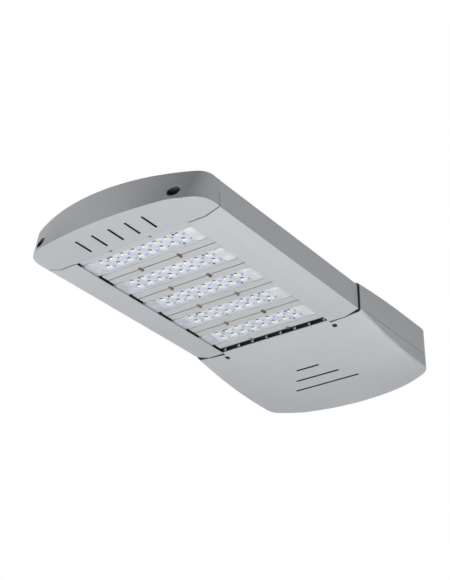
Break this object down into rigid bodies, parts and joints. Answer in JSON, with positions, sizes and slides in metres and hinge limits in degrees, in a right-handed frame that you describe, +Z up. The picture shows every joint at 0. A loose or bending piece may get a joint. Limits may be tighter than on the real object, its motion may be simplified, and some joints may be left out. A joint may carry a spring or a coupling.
{
  "type": "led street light head",
  "caption": "Long flat road lantern: rows of lensed light modules between two rails, a rounded nose and a driver box with a pole socket.",
  "frame": {"origin": "centre of the pole socket's mouth, at the rear of the driver housing", "axes": "+X out of the socket along the pole, so the head reaches towards -X; +Z up; the light shines towards -Z"},
  "size_m": [0.7215, 0.32, 0.083],
  "materials": {
    "casting": "light grey powder coat on cast aluminium",
    "extrusion": "light grey powder coat on extruded aluminium",
    "grille": "light grey powder coat",
    "bare_aluminium": "bare machined aluminium",
    "heatsink": "satin anodised",
    "board": "white solder mask",
    "emitter": "yellow phosphor, unlit",
    "lens": "clear moulded acrylic",
    "seal": "black rubber",
    "steel": "stainless steel",
    "bronze_screw": "dull yellow-passivated steel",
    "tray": "galvanised sheet",
    "driver_case": "satin aluminium case",
    "terminal": "off-white nylon",
    "surge_case": "black potted case",
    "black_plastic": "black nylon"
  },
  "bodies": {
    "root": {"nose_cap": "casting", "nose_screws": "steel", "rail_left": "extrusion", "rail_right": "extrusion", "cross_bar_1": "bare_aluminium", "cross_bar_2": "bare_aluminium", "cross_bar_3": "bare_aluminium", "cross_bar_4": "bare_aluminium", "bar_screws": "steel", "module_1_heatsink": "heatsink", "module_1_board": "board", "module_1_emitters": "emitter", "module_1_gasket": "seal", "module_1_lens": "lens", "module_2_heatsink": "heatsink", "module_2_board": "board", "module_2_emitters": "emitter", "module_2_gasket": "seal", "module_2_lens": "lens", "module_3_heatsink": "heatsink", "module_3_board": "board", "module_3_emitters": "emitter", "module_3_gasket": "seal", "module_3_lens": "lens", "module_4_heatsink": "heatsink", "module_4_board": "board", "module_4_emitters": "emitter", "module_4_gasket": "seal", "module_4_lens": "lens", "module_5_heatsink": "heatsink", "module_5_board": "board", "module_5_emitters": "emitter", "module_5_gasket": "seal", "module_5_lens": "lens", "module_screws": "bronze_screw", "vent_grille": "grille", "front_seal": "seal", "driver_housing": "casting", "driver_cover": "casting", "cover_gasket": "seal", "cover_screws": "steel", "housing_screws": "steel", "gear_tray": "tray", "tray_screws": "steel", "led_driver": "driver_case", "terminal_block": "terminal", "surge_protector": "surge_case", "gear_screws": "steel", "cable_gland": "black_plastic", "breather_valve": "black_plastic", "pole_socket": "bare_aluminium", "socket_bolts": "steel", "set_bolts": "steel"}
  },
  "joints": []
}
